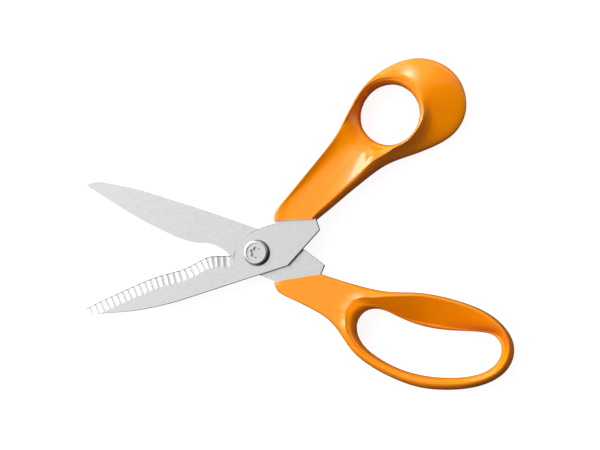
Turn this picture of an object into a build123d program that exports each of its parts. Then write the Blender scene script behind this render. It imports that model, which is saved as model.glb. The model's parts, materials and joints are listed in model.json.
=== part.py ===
from build123d import *

import math
import os

# Serrated fabric shears: two steel blades that turn on one shoulder screw, each with a moulded handle
# round its tang. Lengths are millimetres. Each half is drawn in the closed frame: the pivot axis is Z,
# the blades meet in the plane z = 0, and the tips point along -X. Then the half is turned about the
# pivot to the resting opening and lifted, so that the origin is on the pivot axis, on the surface that
# the shears lie on.

# ---- driving dimensions: whole object ----
REST_HALF_ANGLE = 19.4      # each half is turned this far from closed
LIFT = 8.0                  # from the surface the shears lie on to the plane where the blades meet

# ---- blades ----
BLADE_THICK = 3.0
AXIAL_PLAY = 0.02           # between the sliding pads, and again under the screw head
PAD_HEIGHT = 0.1            # the pads round the pivot stand this far off the inner faces
PAD_RADIUS = 8.5
LAND_HEIGHT = 0.9           # narrow steep land along each cutting edge
LAND_WIDTH = 0.45
FRONT_BEVEL = 4.9           # width of the fluted bevel
BACK_BEVEL = 7.0            # width of the plain bevel, on the far side of the back blade
TIP_RUN_OUT = 12.0          # how far the bevel cuts run on past the tips
BOSS_BREAK_WIDTH = 0.25     # steep break along the front blade's boss
BOSS_BREAK_DEPTH = 0.5
EDGE_OVERRUN = 0.05         # the land's cut starts this far outside the edge
TOP_OVERRUN = 1.0           # and the bevel's cut ends this far above the blade

FLUTE_COUNT = 25
FLUTE_DEPTH = 0.17
FLUTE_FIRST = 3.4           # along the edge, from the tip to the first flute
FLUTE_PITCH = 2.97
FLUTE_FILL = 0.96           # width of a flute over the pitch
FLUTE_LEAN = 6.0            # degrees that the flutes lean off the square

# ---- tangs ----
KEY_HOLE_RADIUS = 2.2       # the mouldings grip the tangs through these holes

# ---- screw, nut and washer ----
SHOULDER_RADIUS = 4.0
RUNNING_PLAY = 0.04         # radial clearance of the front blade on the shoulder
THREAD_RADIUS = 3.0
THREAD_PLAY = 0.1           # radial clearance of the back blade and the washer on the thread
SCREW_END_BREAK = 0.5
HEAD_RADIUS = 6.4
HEAD_FOOT = 0.3
HEAD_WALL_RADIUS = 5.9      # the tapered wall ends here and the round crown begins
HEAD_WALL_TOP = 2.6
HEAD_CROWN_RADIUS = 5.0
HEAD_HEIGHT = 3.6
DISH_RADIUS = 4.5
DISH_DEPTH = 0.7
SOCKET_DEPTH = 1.4
SOCKET_CORE_RADIUS = 2.05
SOCKET_LOBE_RADIUS = 0.72
SOCKET_LOBE_CENTRE = 2.08
WASHER_RADIUS = 6.0
WASHER_STEEL = 0.6
WASHER_HEIGHT = 0.8         # height of the disc spring as fitted
NUT_FLATS = 10.0
NUT_CORNER_BREAK = 0.5

# ---- handles ----
THUMB_CENTRE = (80.9, 43.6)
THUMB_BORE_RADIUS = 14.6
THUMB_BORE_LOW = -4.0       # the cylindrical stretch of the thumb ring
THUMB_BORE_HIGH = 4.0
THUMB_AXIS_ANGLE = 32.0     # the thumb handle's sections stand square to this direction
THUMB_AXIS_START = (20.0, 8.0)
FUNNEL_WIDEN = 3.2          # how much wider the thumb hole is at its mouths
FUNNEL_DEPTH = 8.0
THUMB_END_LINE = ((12.6, 11.95), (32.4, 6.55))
FINGER_END_LINE = ((13.6, -9.8), (33.0, 1.45))
CUT_REACH = 60.0            # larger than any handle, for the cuts that run right through
SECTION_POINTS = 16
SECTION_POWER = 0.72        # 1 makes a handle's section an ellipse, and less makes it squarer

# ---- outlines in the closed frame ----
FRONT_EDGE = [(-89.3, 0.3), (-80.0, 1.7), (-66.0, 3.2), (-49.4, 4.35), (-39.7, 3.85),
              (-32.5, 4.4), (-23.6, 5.7), (-17.5, 4.2), (-12.6, 2.9)]
FRONT_BOSS = [(-12.6, 2.9), (-8.4, 5.3), (-3.6, 8.9), (3.0, 10.6), (12.6, 10.9)]
FRONT_TANG = [(12.6, 10.9), (16.6, 13.5), (47.0, 31.2), (52.0, 21.5), (32.0, 9.0), (32.2, 1.33),
              (12.4, -10.15), (-44.0, -10.15)]
FRONT_SPINE = [(-44.0, -10.15), (-56.0, -9.3), (-68.5, -7.5), (-80.0, -4.85), (-86.6, -2.6), (-89.3, 0.3)]
FRONT_KEY_HOLES = [(31.0, 15.4), (44.4, 23.2)]

BACK_EDGE = [(-92.0, 0.2), (-80.9, -1.9), (-63.5, -5.0), (-49.5, -6.5), (-37.0, -7.0),
             (-31.5, -6.3), (-25.7, -4.5), (-21.0, -3.9), (-16.5, -4.4), (-12.0, -6.2)]
BACK_HEEL = [(-12.0, -6.2), (-6.0, -8.6), (1.0, -9.5), (12.4, -9.6)]
BACK_TANG = [(12.4, -9.6), (20.0, -11.2), (52.0, -11.2), (52.0, -2.4), (32.0, 0.2), (32.1, 6.32),
             (12.5, 11.66)]
BACK_SPINE = [(12.5, 11.66), (-3.3, 10.9), (-19.4, 10.4), (-37.4, 9.6), (-55.4, 8.5), (-68.6, 7.4),
              (-80.8, 5.4), (-88.5, 3.3), (-92.0, 0.2)]
BACK_KEY_HOLES = [(31.0, -6.8), (47.0, -6.8)]

# Stations of the thumb handle: distance along its axis, then left edge, right edge, back, front, how
# far the front is higher at the right edge than at the left, and how deep the front is dished.
THUMB_STATIONS = [
    (-14.0, 1.0, -5.6, -6.0, 6.4, 0.0, 0.4),
    (-4.0, 7.2, -6.2, -6.2, 6.6, 0.2, 0.6),
    (0.0, 9.0, -6.6, -6.4, 6.8, 0.4, 0.8),
    (8.0, 9.3, -7.5, -6.6, 7.0, 0.8, 1.2),
    (20.0, 9.4, -9.2, -7.0, 7.2, 1.2, 1.8),
    (38.0, 9.9, -12.4, -7.6, 7.8, 1.6, 2.2),
    (52.0, 11.8, -16.6, -8.0, 8.4, 1.4, 1.4),
    (66.0, 15.6, -24.4, -8.0, 8.8, 0.8, 0.0),
    (80.0, 15.4, -30.6, -8.0, 9.0, 0.0, 0.0),
    (92.0, 11.2, -30.4, -7.8, 8.8, 0.0, 0.0),
    (100.0, 4.6, -25.4, -7.0, 7.6, 0.0, 0.0),
    (104.6, -3.4, -16.4, -4.0, 4.6, 0.0, 0.0),
]
# The same for the finger handle, whose axis is X.
FINGER_STATIONS = [
    (2.0, 1.0, -6.0, -6.2, 6.2, 0.0, 0.0),
    (12.4, 1.3, -11.4, -6.4, 6.4, 0.0, 0.0),
    (16.4, 1.4, -13.6, -6.4, 6.5, 0.0, 0.0),
    (22.0, 1.5, -14.5, -6.6, 6.6, 0.0, 0.0),
    (34.0, 1.8, -15.4, -7.0, 7.0, 0.0, 0.0),
    (46.0, 2.6, -18.0, -7.4, 7.6, 0.0, 0.0),
    (56.0, 3.7, -24.6, -7.8, 8.2, 0.0, 0.0),
    (68.0, 6.2, -29.8, -8.0, 8.6, 0.0, 0.0),
    (84.0, 11.4, -32.0, -8.0, 8.8, 0.0, 0.0),
    (102.0, 13.7, -30.0, -8.0, 8.8, 0.0, 0.0),
    (118.0, 12.3, -23.4, -7.8, 8.4, 0.0, 0.0),
    (127.6, 7.2, -16.2, -7.0, 7.4, 0.0, 0.0),
    (132.4, -0.6, -8.4, -4.0, 4.4, 0.0, 0.0),
]
# The finger hole, at the back and at the front: its upper bar leans back from the front rim.
FINGER_HOLE_BACK = [(57.6, -12.5), (61.6, -20.9), (72.0, -25.2), (85.0, -26.5), (98.0, -24.9), (112.0, -20.2),
                    (123.2, -12.9), (127.0, -5.0), (123.4, 2.6), (114.0, 3.6), (100.0, -0.6), (86.0, -3.8),
                    (72.0, -3.8), (61.8, -5.0)]
FINGER_HOLE_FRONT = [(56.2, -11.0), (60.6, -20.6), (71.6, -25.4), (85.0, -26.7), (98.0, -25.1), (112.4, -20.4),
                     (124.0, -13.4), (128.4, -4.0), (124.6, 6.0), (114.0, 10.4), (100.0, 10.8), (84.0, 8.2),
                     (70.0, 3.4), (59.6, -3.0)]
FINGER_HOLE_BACK_Z = -8.2
FINGER_HOLE_FRONT_Z = 9.0


# ------------------------------------------------------------------ blades

def face_of(*runs):
    """Face bounded by a closed chain of curves and polylines."""
    return make_face([edge for run in runs for edge in run.edges()])


def front_face():
    return face_of(Spline(*FRONT_EDGE), Spline(*FRONT_BOSS), Polyline(*FRONT_TANG),
                   Spline(*FRONT_SPINE))


def back_face():
    return face_of(Spline(*BACK_EDGE), Spline(*BACK_HEEL), Polyline(*BACK_TANG),
                   Spline(*BACK_SPINE))


def edge_cut(edge_points, inward, side, levels, run_out):
    """Cutter along an edge, ruled between levels of (inset from the edge, height above z = 0).

    inward is +1 or -1, the way along Y from the edge into the blade. side is +1 for a blade above
    z = 0 and -1 for one below. run_out carries the cut on past the first point.
    """
    sections = []
    for inset, z in levels:
        curve = Spline(*[(x, y + inward * inset) for x, y in edge_points])
        start = curve @ 0
        far = -inward * CUT_REACH
        around = [curve @ 1, (edge_points[-1][0], far), ((start - (curve % 0) * run_out).X, far)]
        if run_out > 0:
            around.append(start - (curve % 0) * run_out)
        sections.append(Pos(0, 0, side * z) * face_of(curve, Polyline(*around, start)))
    return loft(sections, ruled=True)


def bevel_cut(edge_points, inward, side, width):
    """Cutter that leaves a steep land and a bevel along a cutting edge."""
    top = AXIAL_PLAY + BLADE_THICK
    run_per_rise = width / (top - LAND_HEIGHT)
    levels = [(-EDGE_OVERRUN, PAD_HEIGHT), (LAND_WIDTH, LAND_HEIGHT),
              (LAND_WIDTH + width + TOP_OVERRUN * run_per_rise, top + TOP_OVERRUN)]
    return edge_cut(edge_points, inward, side, levels, TIP_RUN_OUT)


def boss_break():
    top = AXIAL_PLAY + BLADE_THICK
    steepness = BOSS_BREAK_WIDTH / BOSS_BREAK_DEPTH
    levels = [(-TOP_OVERRUN * steepness, top - BOSS_BREAK_DEPTH - TOP_OVERRUN),
              (BOSS_BREAK_WIDTH + TOP_OVERRUN * steepness, top + TOP_OVERRUN)]
    return edge_cut(FRONT_BOSS, -1, +1, levels, 0.0)


def flutes():
    """Round cutters for the grooves across the bevel of the front blade."""
    edge = Spline(*FRONT_EDGE)
    rise = (AXIAL_PLAY + BLADE_THICK - LAND_HEIGHT) / FRONT_BEVEL
    half_chord = FLUTE_FILL * FLUTE_PITCH / 2
    radius = (half_chord ** 2 + FLUTE_DEPTH ** 2) / (2 * FLUTE_DEPTH)
    cutters = []
    for i in range(FLUTE_COUNT):
        share = (FLUTE_FIRST + i * FLUTE_PITCH) / edge.length
        along = edge.tangent_at(share)
        square = Vector(along.Y, -along.X, 0)
        across = square.rotate(Axis.Z, FLUTE_LEAN)
        up_bevel = (across + Vector(0, 0, rise * across.dot(square) / along.X)).normalized()
        normal = Vector(-along.Y * rise, along.X * rise, along.X).normalized()
        low = edge.position_at(share) + Vector(0, -LAND_WIDTH, LAND_HEIGHT)
        centre = low + up_bevel * (FRONT_BEVEL / 2) + normal * (radius - FLUTE_DEPTH)
        cutters.append(Plane(origin=centre, z_dir=up_bevel) * Cylinder(radius, 2 * FRONT_BEVEL))
    return cutters


def key_holes(places):
    return [Pos(x, y, 0) * Cylinder(KEY_HOLE_RADIUS, 4 * BLADE_THICK) for x, y in places]


def serrated_blade():
    plate = Pos(0, 0, AXIAL_PLAY + PAD_HEIGHT) * extrude(front_face(), BLADE_THICK - PAD_HEIGHT)
    pad = Pos(0, 0, AXIAL_PLAY) * extrude(Circle(PAD_RADIUS), BLADE_THICK / 2)
    blade = plate + pad
    blade -= bevel_cut(FRONT_EDGE, -1, +1, FRONT_BEVEL)
    blade -= boss_break()
    for cutter in flutes():
        blade -= cutter
    blade -= Cylinder(SHOULDER_RADIUS + RUNNING_PLAY, 4 * BLADE_THICK)
    return blade - key_holes(FRONT_KEY_HOLES)


def plain_blade():
    plate = Pos(0, 0, -BLADE_THICK) * extrude(back_face(), BLADE_THICK - PAD_HEIGHT)
    pad = Pos(0, 0, -BLADE_THICK / 2) * extrude(Circle(PAD_RADIUS), BLADE_THICK / 2)
    blade = plate + pad
    blade -= bevel_cut(BACK_EDGE, +1, -1, BACK_BEVEL)
    blade -= Cylinder(THREAD_RADIUS + THREAD_PLAY, 4 * BLADE_THICK)
    return blade - key_holes(BACK_KEY_HOLES)


# ------------------------------------------------------------------ screw, nut and washer

def socket():
    """Six-lobe drive socket, cut down from the dish."""
    shape = Circle(SOCKET_CORE_RADIUS)
    for lobe in PolarLocations(SOCKET_LOBE_CENTRE, 6):
        shape += lobe * Circle(SOCKET_LOBE_RADIUS)
    return extrude(shape, -SOCKET_DEPTH)


def pivot_screw():
    foot = BLADE_THICK + 2 * AXIAL_PLAY
    top = foot + HEAD_HEIGHT
    wall_top = foot + HEAD_WALL_TOP
    head_side = Polyline((SHOULDER_RADIUS, foot), (HEAD_RADIUS, foot), (HEAD_RADIUS, foot + HEAD_FOOT),
                         (HEAD_WALL_RADIUS, wall_top))
    wall_taper = (HEAD_RADIUS - HEAD_WALL_RADIUS) / (HEAD_WALL_TOP - HEAD_FOOT)
    crown = Spline((HEAD_WALL_RADIUS, wall_top), (HEAD_CROWN_RADIUS, top),
                   tangents=[(-wall_taper, 1), (-1, 0)])
    dish = Polyline((HEAD_CROWN_RADIUS, top), (DISH_RADIUS, top), (DISH_RADIUS, top - DISH_DEPTH),
                    (0, top - DISH_DEPTH))
    shank = Polyline((0, top - DISH_DEPTH), (0, -LIFT), (THREAD_RADIUS - SCREW_END_BREAK, -LIFT),
                     (THREAD_RADIUS, -LIFT + SCREW_END_BREAK), (THREAD_RADIUS, 0), (SHOULDER_RADIUS, 0),
                     (SHOULDER_RADIUS, foot))
    profile = face_of(head_side, crown, dish, shank)
    screw = revolve(Plane.XZ * profile, Axis.Z)
    return screw - Pos(0, 0, top - DISH_DEPTH) * socket()


def spring_washer():
    """Disc spring: its outer edge bears on the back blade and its inner edge on the nut."""
    inner = THREAD_RADIUS + THREAD_PLAY
    high = -BLADE_THICK
    low = high - WASHER_HEIGHT
    profile = make_face(Polyline((inner, low), (inner, low + WASHER_STEEL), (WASHER_RADIUS, high),
                                 (WASHER_RADIUS, high - WASHER_STEEL), close=True))
    return revolve(Plane.XZ * profile, Axis.Z)


def pivot_nut():
    top = -BLADE_THICK - WASHER_HEIGHT
    height = LIFT + top
    prism = Pos(0, 0, -LIFT) * extrude(RegularPolygon(NUT_FLATS / 2, 6, major_radius=False), height)
    corner = NUT_FLATS / math.sqrt(3)
    barrel = Pos(0, 0, -LIFT) * extrude(Circle(corner), height)
    barrel = chamfer(barrel.edges(), NUT_CORNER_BREAK)
    nut = prism & barrel
    return nut - Cylinder(THREAD_RADIUS, 4 * LIFT)


# ------------------------------------------------------------------ handles

def section(station):
    """Closed curve across a handle, in the plane of the section: x runs to the left, y to the front."""
    _, left, right, back, front, lean, dish = station
    middle = (left + right) / 2
    half_width = (left - right) / 2
    centre = (front + back) / 2
    half_height = (front - back) / 2
    points = []
    for i in range(SECTION_POINTS):
        angle = 2 * math.pi * i / SECTION_POINTS
        across = math.copysign(abs(math.cos(angle)) ** SECTION_POWER, math.cos(angle))
        up = math.copysign(abs(math.sin(angle)) ** SECTION_POWER, math.sin(angle))
        face_up = max(0.0, math.sin(angle)) ** 2
        z = centre + half_height * up - lean * across * face_up - dish * face_up * face_up
        points.append((middle + half_width * across, z))
    return make_face(Spline(*points, periodic=True))


def handle_body(stations, start, angle):
    direction = Vector(1, 0, 0).rotate(Axis.Z, angle)
    to_left = Vector(0, 1, 0).rotate(Axis.Z, angle)
    sections = []
    for station in stations:
        origin = Vector(start[0], start[1], 0) + direction * station[0]
        plane = Plane(origin=origin, x_dir=to_left, z_dir=to_left.cross(Vector(0, 0, 1)))
        sections.append(plane * section(station))
    return loft(sections)


def trim(body, line, keep_left):
    """The handle on one side of its end line."""
    (x1, y1), (x2, y2) = line
    angle = math.degrees(math.atan2(y2 - y1, x2 - x1))
    offset = -CUT_REACH / 2 if keep_left else CUT_REACH / 2
    block = Pos(x1, y1, 0) * Rot(0, 0, angle) * Pos(0, offset, 0) * Box(2 * CUT_REACH, CUT_REACH, CUT_REACH)
    return body - block


def thumb_hole():
    x, y = THUMB_CENTRE
    mouth = THUMB_BORE_RADIUS + FUNNEL_WIDEN
    middle = make_face(Polyline((0, THUMB_BORE_LOW), (THUMB_BORE_RADIUS, THUMB_BORE_LOW),
                                (THUMB_BORE_RADIUS, THUMB_BORE_HIGH), (0, THUMB_BORE_HIGH), close=True))
    hole = revolve(Plane.XZ * middle, Axis.Z)
    for level, way in ((THUMB_BORE_LOW, -1), (THUMB_BORE_HIGH, 1)):
        end = level + way * FUNNEL_DEPTH
        side = Spline((THUMB_BORE_RADIUS, level), (mouth, end), tangents=[(0, way), (1, way)])
        rest = Polyline((mouth, end), (0, end), (0, level), (THUMB_BORE_RADIUS, level))
        hole += revolve(Plane.XZ * face_of(side, rest), Axis.Z)
    return Pos(x, y, 0) * hole


def finger_hole():
    back = Pos(0, 0, FINGER_HOLE_BACK_Z) * make_face(Spline(*FINGER_HOLE_BACK, periodic=True))
    front = Pos(0, 0, FINGER_HOLE_FRONT_Z) * make_face(Spline(*FINGER_HOLE_FRONT, periodic=True))
    return loft([back, front], ruled=True)


def thumb_handle(blade):
    body = handle_body(THUMB_STATIONS, THUMB_AXIS_START, THUMB_AXIS_ANGLE)
    body = trim(body, THUMB_END_LINE, keep_left=True)
    return body - thumb_hole() - blade


def finger_handle(blade):
    body = handle_body(FINGER_STATIONS, (0.0, 0.0), 0.0)
    body = trim(body, FINGER_END_LINE, keep_left=False)
    return body - finger_hole() - blade


# ------------------------------------------------------------------ assembly

def build():
    serrated = serrated_blade()
    plain = plain_blade()
    front_half = {
        "serrated_blade": serrated,
        "thumb_handle": thumb_handle(serrated),
    }
    back_half = {
        "plain_blade": plain,
        "finger_handle": finger_handle(plain),
        "pivot_screw": pivot_screw(),
        "spring_washer": spring_washer(),
        "pivot_nut": pivot_nut(),
    }
    placed = {}
    for half, angle in ((front_half, REST_HALF_ANGLE), (back_half, -REST_HALF_ANGLE)):
        for name, shape in half.items():
            placed[name] = Pos(0, 0, LIFT) * Rot(0, 0, angle) * shape
    return placed


os.makedirs("parts", exist_ok=True)
for name, shape in build().items():
    export_step(shape, f"parts/{name}.step")
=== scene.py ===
import json
import math

import bmesh
import bpy
import numpy as np
from mathutils import Matrix, Vector

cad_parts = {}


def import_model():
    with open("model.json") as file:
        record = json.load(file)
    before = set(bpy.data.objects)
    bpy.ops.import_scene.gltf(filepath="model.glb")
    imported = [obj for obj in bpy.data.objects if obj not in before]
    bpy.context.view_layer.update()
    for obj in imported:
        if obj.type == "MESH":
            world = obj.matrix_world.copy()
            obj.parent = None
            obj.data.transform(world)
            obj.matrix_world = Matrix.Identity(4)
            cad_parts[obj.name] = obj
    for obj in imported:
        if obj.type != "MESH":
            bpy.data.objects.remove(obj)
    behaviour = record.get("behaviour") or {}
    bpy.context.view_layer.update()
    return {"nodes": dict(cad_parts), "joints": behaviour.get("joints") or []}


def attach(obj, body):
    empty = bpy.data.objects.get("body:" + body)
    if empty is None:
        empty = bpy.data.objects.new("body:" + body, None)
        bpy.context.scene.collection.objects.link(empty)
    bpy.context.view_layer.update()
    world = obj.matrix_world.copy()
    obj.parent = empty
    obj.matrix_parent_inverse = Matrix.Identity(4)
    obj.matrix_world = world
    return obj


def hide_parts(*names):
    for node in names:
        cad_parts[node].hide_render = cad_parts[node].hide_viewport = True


# Fabric shears. The steel parts are the frame's own nodes with better materials. The two handles are
# built here as smooth mouldings, in millimetres, in the closed frame of the shears: the pivot axis is Z,
# the blades meet in z = 0 and the tips point along -X. place() turns each one to the resting opening.

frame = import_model()

PIVOT = frame["joints"][0]
PIVOT_PLACE = Vector(PIVOT["pos_m"])
REST_HALF_ANGLE = -math.radians(PIVOT["range_deg"][0]) / 2

MM = 0.001

# ---- camera ----
CAMERA_TILT = math.radians(11.5)        # off the pivot axis
CAMERA_HEADING = math.radians(-17.84)   # which way it leans, from +X
CAMERA_ROLL = math.radians(2.16)
CAMERA_DISTANCE = 1.4
CAMERA_REACH = 10.0
CAMERA_AIM = Vector((0.01997, 0.01412, 0.008))
FRAME_WIDTH_AT_AIM = 0.288              # what the picture's width spans at the aim
SENSOR_WIDTH = 36.0

# ---- floor ----
FLOOR_HALF_SIZE = 3.0
FLOOR_DROP = 0.0002                     # a hair below the lowest piece
FLOOR_GREY = 0.3
FLOOR_GLOW = 0.9

# ---- studio: a direction, then brightness by how far one leans that way, from -1 to 1 ----
# the tent is the broad light over -X, and the key is the small bright one high up in it
TENT = ((-1.0, 0.1, 0.0),
        [(-1.0, 0.0), (-0.1, 0.0), (0.18, 0.8), (0.6, 1.0), (1.0, 1.0)])
KEY = ((-0.68, 0.38, 0.62),
       [(-1.0, 0.0), (0.86, 0.0), (0.94, 3.5), (0.97, 10.0), (1.0, 10.0)])
# the height at which the tent and the key begin
EDGE = ((0.0, 0.0, 1.0),
        [(-1.0, 0.0), (0.5, 0.0), (0.53, 1.0), (1.0, 1.0)])
# a light to the side, towards +Y, and the heights that it spans
SIDE_LIGHT = ((-0.45, 0.89, 0.0),
              [(-1.0, 0.0), (0.6, 0.0), (0.8, 0.5), (0.9, 0.95), (1.0, 0.95)])
SIDE_HEIGHT = ((0.0, 0.0, 1.0),
               [(-1.0, 0.0), (-0.2, 0.0), (0.1, 0.6), (0.25, 1.0), (0.5, 1.0), (0.55, 0.0), (1.0, 0.0)])
# two strips near the horizon, over -X and over +X, and the heights that they span
LOW_LIGHT = ((-0.9, 0.4, 0.0),
             [(-1.0, 0.0), (0.62, 0.0), (0.72, 1.6), (1.0, 1.6)])
RIGHT_LIGHT = ((0.75, 0.65, 0.0),
               [(-1.0, 0.0), (0.6, 0.0), (0.8, 1.0), (1.0, 1.0)])
LOW_HEIGHT = ((0.0, 0.0, 1.0),
              [(-1.0, 0.0), (-0.3, 0.0), (-0.12, 1.0), (0.3, 1.0), (0.4, 0.0), (1.0, 0.0)])
# a soft patch high towards +Y, and a faint light from all round
BACK_LIGHT = ((0.35, 0.75, 0.6),
              [(-1.0, 0.0), (0.78, 0.0), (0.9, 0.4), (1.0, 0.4)])
FILL = ((0.0, 0.0, 1.0),
        [(-1.0, 0.03), (0.0, 0.12), (0.45, 0.12), (0.6, 0.03), (0.9, 0.03), (1.0, 0.15)])

# ---- finishes ----
ORANGE_DEEP = (1.0, 0.265, 0.0, 1)
ORANGE_PALE = (1.0, 0.285, 0.0, 1)
# grey by how level a face is, from upright (0) to flat (1), which paints shade by facing: the narrow broken
# edges are painted dark as shade, and the bevels and flutes are darker than the flats, partly their ground
# finish and partly painted shade
STEEL_GREYS_AND_PAINTED_SHADE = [
    (0.0, 0.4), (0.27, 0.4),
    (0.32, 0.03), (0.57, 0.03),
    (0.62, 0.37), (0.94, 0.36),
    (0.98, 0.71),
]
# grey of the screw, nut and washer by how level a face is: the walls are painted darker, as shade
SCREW_GREYS_AND_PAINTED_SHADE = [(0.0, 0.22), (0.45, 0.3), (0.85, 0.66), (1.0, 0.66)]
# a face less level than the first starts to look ground, and at the second it fully does
GROUND_FROM = 0.98
GROUND_TO = 0.94
GROUND_ROUGHNESS = 0.48
# the part of the noise's range that is spread over the wanted values
NOISE_LOW = 0.3
NOISE_HIGH = 0.7

# ---- grids of the mouldings (lengths in millimetres) ----
STATION_COLUMNS = ("share", "rim", "bed", "lip", "roll", "hollow", "throat", "shelf", "drop", "fall", "side",
                   "square", "back")
QUARTER_TURN = math.pi / 2
LIP_SLOPE = 7.0             # how far into the face the slope down to the lip reaches
ROLL_LIMIT = 0.9            # most of the way to the rim that the roll may take
FLANK_LIMIT = 0.6           # most of the way to the outline that the drop to the shelf may take
BACK_CREST_SHARE = 0.5      # where the back is highest, from the hole (0) to the outline (1)
BACK_SQUARE = 2.4           # how square the back's edges are
MOUTH_DEPTH = 8.0           # how far from the hole the back starts to round into it
ROLL_STEPS = 9
FACE_STEPS = 22
FLANK_STEPS = 12
OUTER_STEPS = 30
BACK_STEPS = 22
MOUTH_STEPS = 14
CURVE_POINTS = 4000
SEARCH_ANGLES = 7201
EXTRA_STEP = 0.2            # added to each step along the outline: more of it spreads the rays more evenly

# ---- stations of the mouldings ----
# Each row is one ray from the middle of the hole: its angle in degrees, then (lengths in millimetres)
#   share    where the front rim is, from the hole (0) to the outline (1)
#   rim      height of the front rim
#   bed      height that the face inside the rim settles at
#   lip      height where the face inside the rim rolls over into the hole
#   roll     width of that roll
#   hollow   how close to the rim the face stays at the bed: 1 is a straight slope, more is a scoop
#   throat   height of the narrowest line of the hole
#   shelf    height of the front outside the rim
#   drop     how far outside the rim it takes to come down to the shelf
#   fall     how much lower the shelf is by the time it reaches the outline
#   side     height of the outline
#   square   how square the front's outer edge is: 2 is an ellipse
#   back     height of the back
THUMB_CENTRE = (80.9, 43.6)
THUMB_HOLE_RADIUS = 14.6
THUMB_STRETCH = 1.0         # 1 is a round grid
THUMB_RAYS = 420
THUMB_OUTLINE = [
    (118.3, 44.8), (117.2, 50.7), (110.4, 60.5), (100.0, 65.7), (88.6, 66.0), (79.9, 63.8),
    (71.9, 59.5), (65.1, 53.6), (59.0, 47.0), (52.5, 40.9), (42.7, 34.1), (32.7, 27.7),
    (22.8, 21.4), (17.4, 18.0), (13.8, 15.2), (12.7, 12.6), (12.6, 8.0), (22.0, 2.4),
    (28.0, 5.0), (38.2, 9.3), (49.3, 13.9), (60.3, 18.2), (71.5, 21.7), (83.9, 22.4),
    (95.6, 22.9), (107.0, 25.5), (115.0, 32.2),
]
THUMB_END = ((12.6, 11.95), (32.4, 6.55))
THUMB_STATIONS = [
    # angle share rim  bed  lip  roll hollow throat shelf drop fall side square back
    (10,   0.135, 8.7, 8.7, 7.8, 2.0, 1.0, 0.0, 9.2, 3.0, 4.0, 0.5, 3.2, -8.0),
    (22,   0.150, 8.7, 8.7, 7.8, 2.0, 1.0, 0.0, 9.2, 3.0, 3.4, 0.5, 3.2, -8.0),
    (34,   0.165, 8.7, 8.7, 7.8, 2.0, 1.0, 0.0, 7.9, 2.8, 2.4, 0.5, 3.2, -8.0),
    (46,   0.190, 8.6, 8.6, 7.6, 2.0, 1.0, 0.0, 6.0, 2.6, 1.0, 0.5, 3.2, -8.0),
    (57,   0.230, 8.5, 8.5, 7.5, 2.0, 1.0, 0.0, 5.0, 2.6, 0.2, 0.2, 3.0, -8.0),
    (78,   0.320, 8.2, 8.2, 7.2, 2.0, 1.0, 0.0, 5.0, 2.6, 0.0, 0.0, 2.6, -8.0),
    (110,  0.540, 7.5, 7.5, 6.6, 2.0, 1.0, 0.0, 5.4, 2.6, 0.2, 0.0, 2.2, -8.0),
    (147,  0.600, 7.5, 7.2, 4.6, 1.9, 1.6, 0.0, 6.8, 1.5, 0.0, 0.0, 2.2, -8.0),
    (166,  0.800, 7.6, 7.1, 3.8, 1.8, 1.8, 0.0, 6.8, 2.0, 0.0, 0.5, 2.4, -7.8),
    (178,  0.860, 7.5, 6.9, 3.5, 1.8, 2.0, 0.0, 6.6, 3.0, 0.0, 1.0, 2.6, -7.6),
    (188,  0.890, 7.3, 6.1, 3.4, 1.8, 3.0, 0.0, 6.6, 3.0, 0.0, 1.0, 2.6, -7.3),
    (198,  0.920, 6.9, 5.2, 3.2, 1.8, 3.5, 0.0, 6.4, 4.0, 0.0, 1.0, 3.0, -6.8),
    (204,  0.940, 6.1, 5.0, 3.2, 1.8, 4.0, 0.0, 6.0, 4.0, 0.0, 1.0, 3.0, -6.6),
    (211,  0.960, 5.7, 5.3, 3.2, 1.8, 2.4, 0.0, 5.7, 4.0, 0.0, 1.0, 3.0, -6.6),
    (216.5, 0.860, 5.8, 5.6, 3.2, 1.8, 1.6, 0.0, 5.8, 6.0, 0.0, -2.0, 3.0, -6.6),
    (221,  0.790, 6.1, 6.0, 3.2, 1.8, 1.3, 0.0, 6.0, 6.0, 0.0, -2.5, 3.0, -6.8),
    (227,  0.730, 7.0, 7.1, 3.4, 1.8, 1.2, 0.0, 6.6, 6.0, 0.0, -3.0, 2.8, -7.2),
    (232,  0.690, 7.9, 8.0, 3.9, 1.8, 1.2, 0.0, 6.8, 4.0, 0.0, -3.3, 2.6, -7.4),
    (238,  0.640, 8.3, 8.3, 4.6, 1.8, 1.2, 0.0, 6.6, 4.0, 0.0, -3.5, 2.4, -7.6),
    (250,  0.560, 8.6, 8.5, 6.0, 1.8, 1.2, 0.0, 5.6, 3.0, 0.0, -4.0, 2.0, -8.0),
    (264,  0.360, 8.7, 8.6, 7.4, 1.8, 1.0, 0.0, 4.0, 3.5, 0.0, -4.0, 2.0, -8.0),
    (280,  0.270, 8.7, 8.7, 7.8, 1.7, 1.0, 0.0, 3.2, 4.0, 1.6, -4.0, 2.2, -8.0),
    (305,  0.157, 8.7, 8.7, 7.8, 1.6, 1.0, 0.0, 3.4, 4.5, 2.6, -3.0, 2.6, -8.0),
    (330,  0.130, 8.7, 8.7, 7.8, 1.9, 1.0, 0.0, 5.0, 4.2, 3.6, -1.0, 3.0, -8.0),
    (352,  0.127, 8.7, 8.7, 7.8, 2.0, 1.0, 0.0, 7.6, 3.4, 4.2, 0.5, 3.2, -8.0),
]

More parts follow.
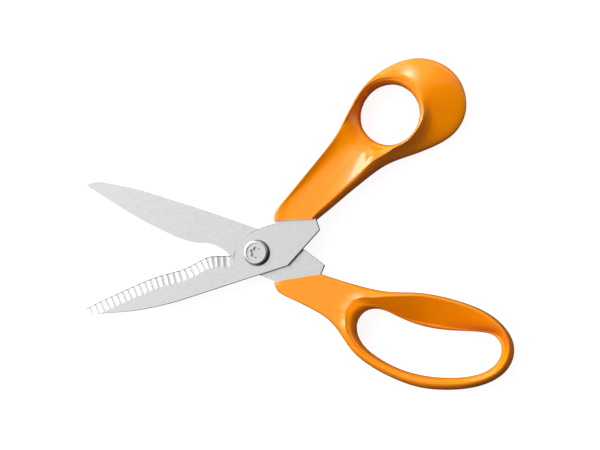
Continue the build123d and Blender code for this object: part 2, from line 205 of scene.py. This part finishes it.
FINGER_CENTRE = (92.0, -11.0)
FINGER_STRETCH = 2.2        # the grid is drawn out along X with the long loop
FINGER_RAYS = 520
FINGER_OUTLINE = [
    (132.9, -3.0), (130.9, 3.6), (125.4, 9.1), (114.2, 13.3), (102.2, 13.8), (90.3, 12.6),
    (78.5, 9.9), (67.1, 5.9), (55.6, 3.6), (43.6, 2.4), (32.0, 1.7), (24.0, 1.5),
    (15.6, -1.0), (13.4, -6.0), (13.6, -10.4), (16.4, -13.4), (21.9, -14.4), (33.9, -15.3),
    (45.0, -17.6), (53.0, -22.4), (60.7, -27.3), (71.7, -30.7), (84.0, -32.0), (96.0, -31.4),
    (107.4, -28.3), (118.2, -23.3), (127.2, -16.4), (131.6, -10.0),
]
FINGER_HOLE = [
    (127.0, -4.6), (125.2, 1.0), (120.7, 4.1), (113.0, 3.5), (104.0, 0.6), (94.0, -2.4),
    (84.0, -4.0), (73.0, -3.8), (64.0, -3.9), (59.4, -6.8), (57.4, -12.0), (59.0, -18.2),
    (64.4, -22.8), (73.1, -25.5), (85.0, -26.6), (97.6, -25.1), (109.4, -21.4), (119.0, -16.4),
    (125.0, -10.6),
]
FINGER_END = ((13.6, -9.8), (33.0, 1.45))
FINGER_STATIONS = [
    # angle share rim  bed  lip  roll hollow throat shelf drop fall side square back
    (0,    0.60, 7.6, 6.6, 6.6, 2.4, 1.0, 0.0, 7.6, 1.0, 0.0, 0.5, 2.6, -7.6),
    (25,   0.66, 8.0, 4.2, 4.2, 2.0, 1.0, -2.0, 8.0, 1.0, 0.0, 0.5, 2.6, -7.8),
    (45,   0.80, 8.3, -1.0, -1.0, 1.8, 1.0, -5.0, 8.3, 1.0, 0.0, 0.5, 2.4, -8.0),
    (60,   0.89, 8.6, -3.8, -3.8, 1.8, 1.0, -6.6, 8.6, 1.0, 0.0, 0.5, 2.4, -8.0),
    (80,   0.91, 8.8, -4.4, -4.4, 1.8, 1.0, -7.0, 8.8, 1.0, 0.0, 0.5, 2.4, -8.0),
    (100,  0.90, 8.8, -4.4, -4.4, 1.8, 1.0, -7.0, 8.8, 1.0, 0.0, 0.0, 2.4, -8.0),
    (118,  0.86, 8.8, -4.0, -4.0, 1.8, 1.0, -6.6, 8.6, 2.0, 0.0, 0.0, 2.6, -8.0),
    (134,  0.74, 8.6, -2.0, -2.0, 2.0, 1.0, -5.6, 7.6, 3.0, 0.0, 0.0, 2.8, -7.8),
    (146,  0.46, 8.0, 3.0, 3.0, 2.8, 1.0, -3.0, 6.9, 6.0, 0.0, 0.0, 4.0, -7.4),
    (156,  0.24, 7.5, 6.3, 6.3, 3.8, 1.0, -1.0, 6.5, 8.0, 0.0, 0.0, 8.0, -6.8),
    (161,  0.178, 7.3, 6.7, 6.7, 4.1, 1.0, -0.4, 6.4, 9.0, 0.0, 0.0, 9.5, -6.7),
    (168,  0.146, 7.2, 6.8, 6.8, 4.2, 1.0, 0.0, 6.3, 9.5, 0.0, 0.0, 10.0, -6.6),
    (180,  0.134, 7.2, 6.8, 6.8, 4.2, 1.0, 0.0, 6.3, 9.0, 0.0, 0.0, 10.0, -6.6),
    (185,  0.137, 7.2, 6.8, 6.8, 4.1, 1.0, 0.0, 6.3, 7.0, 0.0, 0.0, 8.0, -6.6),
    (190,  0.215, 7.3, 6.9, 6.9, 4.0, 1.0, 0.0, 6.4, 5.0, 0.0, 0.0, 6.0, -6.6),
    (202,  0.38, 7.5, 7.0, 7.0, 3.2, 1.0, 0.0, 6.8, 4.0, 0.0, -1.0, 3.4, -7.0),
    (216,  0.46, 7.5, 6.6, 6.6, 2.4, 1.0, 0.0, 7.1, 2.0, 0.0, -1.0, 2.4, -7.2),
    (235,  0.44, 7.3, 6.6, 6.6, 2.4, 1.0, 0.0, 7.3, 1.0, 0.0, -1.0, 2.2, -7.2),
    (270,  0.44, 7.1, 6.4, 6.4, 2.4, 1.0, 0.0, 7.1, 1.0, 0.0, -1.0, 2.2, -7.0),
    (320,  0.50, 7.3, 6.4, 6.4, 2.4, 1.0, 0.0, 7.3, 1.0, 0.0, -1.0, 2.4, -7.2),
]


# ------------------------------------------------------------------ curves

def periodic_spline(at, values, period, wanted):
    """Smooth periodic curve through values (rows) at the given places, read at the wanted places."""
    at = np.asarray(at, float)
    values = np.asarray(values, float).reshape(len(at), -1)
    n = len(at)
    gap = np.diff(np.append(at, at[0] + period))
    rise = (np.roll(values, -1, axis=0) - values) / gap[:, None]
    system = np.zeros((n, n))
    for i in range(n):
        before = gap[i - 1]
        system[i, i - 1] += before
        system[i, i] += 2 * (before + gap[i])
        system[i, (i + 1) % n] += gap[i]
    bend = np.linalg.solve(system, 6 * (rise - np.roll(rise, 1, axis=0)))
    spot = (np.asarray(wanted, float) - at[0]) % period + at[0]
    k = np.clip(np.searchsorted(at, spot, side="right") - 1, 0, n - 1)
    h = gap[k][:, None]
    t = (spot - at[k])[:, None] / h
    after = (k + 1) % n
    straight = (1 - t) * values[k] + t * values[after]
    curve = ((1 - t) ** 3 - (1 - t)) * bend[k] + (t ** 3 - t) * bend[after]
    return straight + curve * h ** 2 / 6


def closed_curve(points, count):
    """Points along a smooth closed curve through the given points."""
    points = np.asarray(points, float)
    chord = np.linalg.norm(np.roll(points, -1, axis=0) - points, axis=1)
    at = np.concatenate([[0.0], np.cumsum(chord)[:-1]])
    return periodic_spline(at, points, chord.sum(), np.linspace(0, chord.sum(), count, endpoint=False))


def reach(points, centre, stretch, angles):
    """How far a closed curve is from the centre along each ray, in the stretched plane."""
    curve = closed_curve(points, CURVE_POINTS)
    x = (curve[:, 0] - centre[0]) / stretch
    y = curve[:, 1] - centre[1]
    angle = np.degrees(np.arctan2(y, x)) % 360
    order = np.argsort(angle)
    return np.interp(angles, angle[order], np.hypot(x, y)[order], period=360)


# ------------------------------------------------------------------ mouldings

def ray_angles(outline, centre, stretch, count):
    """Ray angles, closer together where the outline runs further for each degree."""
    fine = np.linspace(0, 360, SEARCH_ANGLES)
    radius = reach(outline, centre, stretch, fine)
    x = radius * np.cos(np.radians(fine)) * stretch
    y = radius * np.sin(np.radians(fine))
    step = np.hypot(np.diff(x), np.diff(y)) + EXTRA_STEP
    along = np.concatenate([[0.0], np.cumsum(step)])
    return np.interp(np.linspace(0, along[-1], count, endpoint=False), along, fine)


def ellipse_height(q, square):
    """Height of a squared quarter ellipse at q, from 1 in the middle to 0 at the edge."""
    return (1 - q ** square) ** (1 / square)


def roll_rows(at, inner, roll):
    """From the narrowest line of the hole up to the lip."""
    rows = []
    for k in range(ROLL_STEPS):
        a = QUARTER_TURN * k / ROLL_STEPS
        z = at["throat"] + (at["lip"] - at["throat"]) * math.sin(a)
        rows.append((inner + roll * (1 - math.cos(a)), z))
    return rows


def face_rows(at, inner, roll, crest):
    """From the lip over the bed to the front rim."""
    rows = []
    for k in range(FACE_STEPS):
        t = k / FACE_STEPS
        run = t * (crest - inner - roll)
        climb = 1 - (1 - np.minimum(run / LIP_SLOPE, 1)) ** 2
        z = at["lip"] + (at["bed"] - at["lip"]) * climb + (at["rim"] - at["bed"]) * t ** at["hollow"]
        rows.append((inner + roll + run, z))
    return rows


def outer_rows(at, crest, outer):
    """From the rim down its flank to the shelf, then out and round to the outline."""
    width = outer - crest
    flank = np.minimum(at["drop"], FLANK_LIMIT * width) / width
    shares = [flank * k / FLANK_STEPS for k in range(FLANK_STEPS)]
    for k in range(OUTER_STEPS):
        rounding = math.sin(QUARTER_TURN * k / OUTER_STEPS) ** (2 / at["square"])
        shares.append(flank + (1 - flank) * rounding)
    rows = []
    for q in shares:
        landing = 1 - (1 - np.minimum(q * width / at["drop"], 1)) ** 2
        front = at["rim"] + (at["shelf"] - at["rim"]) * landing - at["fall"] * q
        rows.append((crest + q * width, at["side"] + (front - at["side"]) * ellipse_height(q, at["square"])))
    return rows


def back_rows(at, back_crest, outer):
    """From the outline round to the highest line of the back."""
    rows = []
    for k in range(BACK_STEPS):
        a = QUARTER_TURN * (1 - k / BACK_STEPS)
        r = back_crest + (outer - back_crest) * math.sin(a) ** (2 / BACK_SQUARE)
        rows.append((r, at["side"] + (at["back"] - at["side"]) * math.cos(a) ** (2 / BACK_SQUARE)))
    return rows


def mouth_rows(at, inner, back_crest):
    """From the highest line of the back into the hole."""
    start = back_crest - inner
    mouth = np.minimum(start, MOUTH_DEPTH)
    rows = []
    for k in range(MOUTH_STEPS):
        left = start * (1 - k / MOUTH_STEPS)
        level = ellipse_height(np.clip(1 - left / mouth, 0, 1), BACK_SQUARE)
        rows.append((inner + left, at["throat"] + (at["back"] - at["throat"]) * level))
    return rows


def moulding_grid(centre, stretch, outline, hole_reach, stations, count):
    """Closed grid of points, ray by ray, each ray a loop from the hole over the front to the back."""
    angles = ray_angles(outline, centre, stretch, count)
    table = np.asarray(stations, float)
    at = dict(zip(STATION_COLUMNS, periodic_spline(table[:, 0], table[:, 1:], 360, angles).T))
    ray_x = np.cos(np.radians(angles)) * stretch
    ray_y = np.sin(np.radians(angles))
    ray_length = np.hypot(ray_x, ray_y)
    inner = hole_reach(angles) * ray_length
    outer = reach(outline, centre, stretch, angles) * ray_length
    crest = inner + at["share"] * (outer - inner)
    roll = np.minimum(at["roll"], ROLL_LIMIT * (crest - inner))
    back_crest = inner + BACK_CREST_SHARE * (outer - inner)
    rows = roll_rows(at, inner, roll) + face_rows(at, inner, roll, crest) + outer_rows(at, crest, outer)
    rows += back_rows(at, back_crest, outer) + mouth_rows(at, inner, back_crest)
    r = np.stack([row[0] for row in rows], axis=1)
    z = np.stack([row[1] for row in rows], axis=1)
    x = centre[0] + r * (ray_x / ray_length)[:, None]
    y = centre[1] + r * (ray_y / ray_length)[:, None]
    return np.stack([x, y, z], axis=2)


def place(points, side):
    """From the closed frame in millimetres to the row frame at rest; side is +1 for the front half."""
    turn = Matrix.Rotation(side * REST_HALF_ANGLE, 3, "Z")
    return [PIVOT_PLACE + turn @ (Vector(p) * MM) for p in points]


def grid_mesh(name, grid, end_line, side):
    """Mesh of a closed grid, cut square at the end line."""
    rays, loops, _ = grid.shape
    mesh = bmesh.new()
    verts = [mesh.verts.new(p) for p in grid.reshape(-1, 3)]
    for i in range(rays):
        here = i * loops
        there = (i + 1) % rays * loops
        for k in range(loops):
            k2 = (k + 1) % loops
            mesh.faces.new((verts[here + k], verts[here + k2], verts[there + k2], verts[there + k]))
    (x1, y1), (x2, y2) = end_line
    normal = Vector((y2 - y1, x1 - x2, 0)).normalized() * side
    cut = bmesh.ops.bisect_plane(mesh, geom=mesh.verts[:] + mesh.edges[:] + mesh.faces[:],
                                 plane_co=(x1, y1, 0), plane_no=normal, clear_outer=True)
    rim = [e for e in cut["geom_cut"] if isinstance(e, bmesh.types.BMEdge)]
    caps = bmesh.ops.holes_fill(mesh, edges=rim, sides=0)["faces"]
    bmesh.ops.recalc_face_normals(mesh, faces=mesh.faces[:])
    for face in mesh.faces:
        face.smooth = True
    for cap in caps:
        cap.smooth = False
        for edge in cap.edges:
            edge.smooth = False
    for vert, p in zip(mesh.verts, place([v.co for v in mesh.verts], side)):
        vert.co = p
    data = bpy.data.meshes.new(name)
    mesh.to_mesh(data)
    mesh.free()
    obj = bpy.data.objects.new(name, data)
    bpy.context.scene.collection.objects.link(obj)
    return obj


def thumb_grip():
    """Front handle, round its thumb ring."""
    def hole(angles):
        return np.full(len(angles), THUMB_HOLE_RADIUS)
    grid = moulding_grid(THUMB_CENTRE, THUMB_STRETCH, THUMB_OUTLINE, hole, THUMB_STATIONS, THUMB_RAYS)
    return grid_mesh("thumb_grip", grid, THUMB_END, +1)


def finger_grip():
    """Back handle, round its long finger loop."""
    def hole(angles):
        return reach(FINGER_HOLE, FINGER_CENTRE, FINGER_STRETCH, angles)
    grid = moulding_grid(FINGER_CENTRE, FINGER_STRETCH, FINGER_OUTLINE, hole, FINGER_STATIONS, FINGER_RAYS)
    return grid_mesh("finger_grip", grid, FINGER_END, -1)


# ------------------------------------------------------------------ materials

def new_material(name):
    """Material with its nodes and links."""
    material = bpy.data.materials.new(name)
    material.use_nodes = True
    return material, material.node_tree.nodes, material.node_tree.links


def grain(nodes, links, scale, detail, low, high):
    """Noise in the piece's own metres, spread between two values."""
    place_in = nodes.new("ShaderNodeTexCoord")
    noise = nodes.new("ShaderNodeTexNoise")
    noise.inputs["Scale"].default_value = scale
    noise.inputs["Detail"].default_value = detail
    links.new(place_in.outputs["Object"], noise.inputs["Vector"])
    spread = nodes.new("ShaderNodeMapRange")
    spread.inputs["From Min"].default_value = NOISE_LOW
    spread.inputs["From Max"].default_value = NOISE_HIGH
    spread.inputs["To Min"].default_value = low
    spread.inputs["To Max"].default_value = high
    links.new(noise.outputs["Fac"], spread.inputs["Value"])
    return spread.outputs["Result"]


def bump(nodes, links, height, depth):
    """Fine relief, with its depth in metres."""
    relief = nodes.new("ShaderNodeBump")
    relief.inputs["Strength"].default_value = 1.0
    relief.inputs["Distance"].default_value = depth
    links.new(height, relief.inputs["Height"])
    links.new(relief.outputs["Normal"], nodes["Principled BSDF"].inputs["Normal"])


def levelness(nodes, links):
    """How level a face is, from upright (0) to flat and facing up (1)."""
    surface = nodes.new("ShaderNodeNewGeometry")
    split = nodes.new("ShaderNodeSeparateXYZ")
    links.new(surface.outputs["True Normal"], split.inputs[0])
    return split.outputs["Z"]


def ramp_of(nodes, stops):
    """Colour ramp through grey levels, each at its place from 0 to 1."""
    ramp = nodes.new("ShaderNodeValToRGB")
    elements = ramp.color_ramp.elements
    elements.remove(elements[0])
    for k, (place_at, value) in enumerate(stops):
        stop = elements[0] if k == 0 else elements.new(place_at)
        stop.position = place_at
        stop.color = (value, value, value, 1)
    return ramp


def plastic():
    """Glossy moulded plastic, with the faint unevenness of its mould."""
    material, nodes, links = new_material("orange_moulding")
    shader = nodes["Principled BSDF"]
    shader.inputs["IOR"].default_value = 1.5
    tone = nodes.new("ShaderNodeMix")
    tone.data_type = "RGBA"
    tone.inputs["A"].default_value = ORANGE_DEEP
    tone.inputs["B"].default_value = ORANGE_PALE
    links.new(grain(nodes, links, scale=60, detail=2, low=0.0, high=1.0), tone.inputs["Factor"])
    links.new(tone.outputs["Result"], shader.inputs["Base Color"])
    links.new(grain(nodes, links, scale=400, detail=3, low=0.07, high=0.12), shader.inputs["Roughness"])
    bump(nodes, links, grain(nodes, links, scale=1800, detail=1, low=0.0, high=1.0), depth=0.000002)
    return material


def steel():
    """Satin steel: bright flats, bevels and flutes darker partly by their ground finish and partly by
    painted shade, and broken edges painted dark as shade.
    """
    material, nodes, links = new_material("satin_steel")
    shader = nodes["Principled BSDF"]
    shader.inputs["Metallic"].default_value = 1.0
    level = levelness(nodes, links)

    # painted shade: each face's grey is set by how level it is, with the broken edges painted dark
    tone = ramp_of(nodes, STEEL_GREYS_AND_PAINTED_SHADE)
    links.new(level, tone.inputs["Fac"])
    cloud = nodes.new("ShaderNodeMix")
    cloud.data_type = "RGBA"
    cloud.blend_type = "MULTIPLY"
    cloud.inputs["Factor"].default_value = 1.0
    links.new(tone.outputs["Color"], cloud.inputs["A"])
    links.new(grain(nodes, links, scale=700, detail=6, low=0.965, high=1.035), cloud.inputs["B"])
    links.new(cloud.outputs["Result"], shader.inputs["Base Color"])

    ground = nodes.new("ShaderNodeMapRange")
    ground.inputs["From Min"].default_value = GROUND_FROM
    ground.inputs["From Max"].default_value = GROUND_TO
    ground.inputs["To Max"].default_value = GROUND_ROUGHNESS
    links.new(level, ground.inputs["Value"])
    links.new(grain(nodes, links, scale=1500, detail=3, low=0.17, high=0.23), ground.inputs["To Min"])
    links.new(ground.outputs["Result"], shader.inputs["Roughness"])
    bump(nodes, links, grain(nodes, links, scale=2500, detail=2, low=0.0, high=1.0), depth=0.000003)
    return material


def screw_steel():
    """Plated steel, with its walls painted darker as shade, and faint turning marks round the pivot."""
    material, nodes, links = new_material("screw_steel")
    shader = nodes["Principled BSDF"]
    shader.inputs["Metallic"].default_value = 1.0
    level = levelness(nodes, links)
    # painted shade: the walls are painted darker than the flat faces
    tone = ramp_of(nodes, SCREW_GREYS_AND_PAINTED_SHADE)
    links.new(level, tone.inputs["Fac"])
    links.new(tone.outputs["Color"], shader.inputs["Base Color"])
    links.new(grain(nodes, links, scale=900, detail=2, low=0.24, high=0.28), shader.inputs["Roughness"])
    place_in = nodes.new("ShaderNodeTexCoord")
    rings = nodes.new("ShaderNodeTexWave")
    rings.wave_type = "RINGS"
    rings.rings_direction = "Z"
    rings.inputs["Scale"].default_value = 400
    links.new(place_in.outputs["Object"], rings.inputs["Vector"])
    bump(nodes, links, rings.outputs["Fac"], depth=0.000001)
    return material


def dress(node, material):
    """Give a CAD node its finish."""
    obj = frame["nodes"][node]
    obj.data.materials.clear()
    obj.data.materials.append(material)


# ------------------------------------------------------------------ stage

def floor():
    """White floor that isn't part of the object."""
    mesh = bmesh.new()
    bmesh.ops.create_grid(mesh, x_segments=1, y_segments=1, size=FLOOR_HALF_SIZE)
    data = bpy.data.meshes.new("floor")
    mesh.to_mesh(data)
    mesh.free()
    obj = bpy.data.objects.new("floor", data)
    obj.location.z = -FLOOR_DROP
    bpy.context.scene.collection.objects.link(obj)
    material, nodes, _ = new_material("floor_white")
    shader = nodes["Principled BSDF"]
    shader.inputs["Base Color"].default_value = (FLOOR_GREY, FLOOR_GREY, FLOOR_GREY, 1)
    shader.inputs["Roughness"].default_value = 0.9
    shader.inputs["Specular IOR Level"].default_value = 0.0
    shader.inputs["Emission Color"].default_value = (1, 1, 1, 1)
    shader.inputs["Emission Strength"].default_value = FLOOR_GLOW
    data.materials.append(material)
    obj.visible_diffuse = False
    obj.visible_glossy = False


def world():
    """Studio light in every direction, added up from the lights listed at the top."""
    scene_world = bpy.data.worlds.new("studio")
    bpy.context.scene.world = scene_world
    scene_world.use_nodes = True
    nodes = scene_world.node_tree.nodes
    links = scene_world.node_tree.links

    def lit(direction, stops):
        """Brightness by how far a direction leans towards this one, from -1 to 1."""
        lean = nodes.new("ShaderNodeVectorMath")
        lean.operation = "DOT_PRODUCT"
        lean.inputs[1].default_value = Vector(direction).normalized()
        links.new(where.outputs["Generated"], lean.inputs[0])
        spread = nodes.new("ShaderNodeMapRange")
        spread.inputs["From Min"].default_value = -1
        links.new(lean.outputs["Value"], spread.inputs["Value"])
        ramp = ramp_of(nodes, [((place_at + 1) / 2, value) for place_at, value in stops])
        links.new(spread.outputs["Result"], ramp.inputs["Fac"])
        return ramp.outputs["Color"]

    def combine(operation, one, two):
        """Two brightnesses added or multiplied."""
        mix = nodes.new("ShaderNodeVectorMath")
        mix.operation = operation
        links.new(one, mix.inputs[0])
        links.new(two, mix.inputs[1])
        return mix.outputs[0]

    where = nodes.new("ShaderNodeTexCoord")
    tent = combine("MULTIPLY", combine("ADD", lit(*TENT), lit(*KEY)), lit(*EDGE))
    side = combine("MULTIPLY", lit(*SIDE_LIGHT), lit(*SIDE_HEIGHT))
    low = combine("MULTIPLY", combine("ADD", lit(*LOW_LIGHT), lit(*RIGHT_LIGHT)), lit(*LOW_HEIGHT))
    soft = combine("ADD", lit(*BACK_LIGHT), lit(*FILL))
    total = combine("ADD", combine("ADD", tent, side), combine("ADD", low, soft))
    links.new(total, nodes["Background"].inputs["Color"])


def camera():
    """Camera looking down at the shears from close to the pivot axis."""
    back = Vector((math.sin(CAMERA_TILT) * math.cos(CAMERA_HEADING),
                   math.sin(CAMERA_TILT) * math.sin(CAMERA_HEADING), math.cos(CAMERA_TILT)))
    up_hint = Vector((-math.sin(CAMERA_ROLL), math.cos(CAMERA_ROLL), 0))
    right = up_hint.cross(back).normalized()
    up = back.cross(right)
    data = bpy.data.cameras.new("camera")
    data.sensor_width = SENSOR_WIDTH
    data.lens = SENSOR_WIDTH * CAMERA_DISTANCE / FRAME_WIDTH_AT_AIM
    data.clip_end = CAMERA_REACH
    obj = bpy.data.objects.new("camera", data)
    turn = Matrix((right, up, back)).transposed().to_4x4()
    obj.matrix_world = Matrix.Translation(CAMERA_AIM + back * CAMERA_DISTANCE) @ turn
    bpy.context.scene.collection.objects.link(obj)
    bpy.context.scene.camera = obj


camera()
floor()
world()
bpy.context.scene.view_settings.view_transform = "Standard"

steel_material = steel()
screw_material = screw_steel()
dress("serrated_blade", steel_material)
dress("plain_blade", steel_material)
for node in ("pivot_screw", "pivot_nut", "spring_washer"):
    dress(node, screw_material)

plastic_material = plastic()
for make, node, body in (
        (thumb_grip, "thumb_handle", "thumb_half"),
        (finger_grip, "finger_handle", "finger_half")):
    grip = make()
    grip.data.materials.append(plastic_material)
    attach(grip, body)
    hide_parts(node)
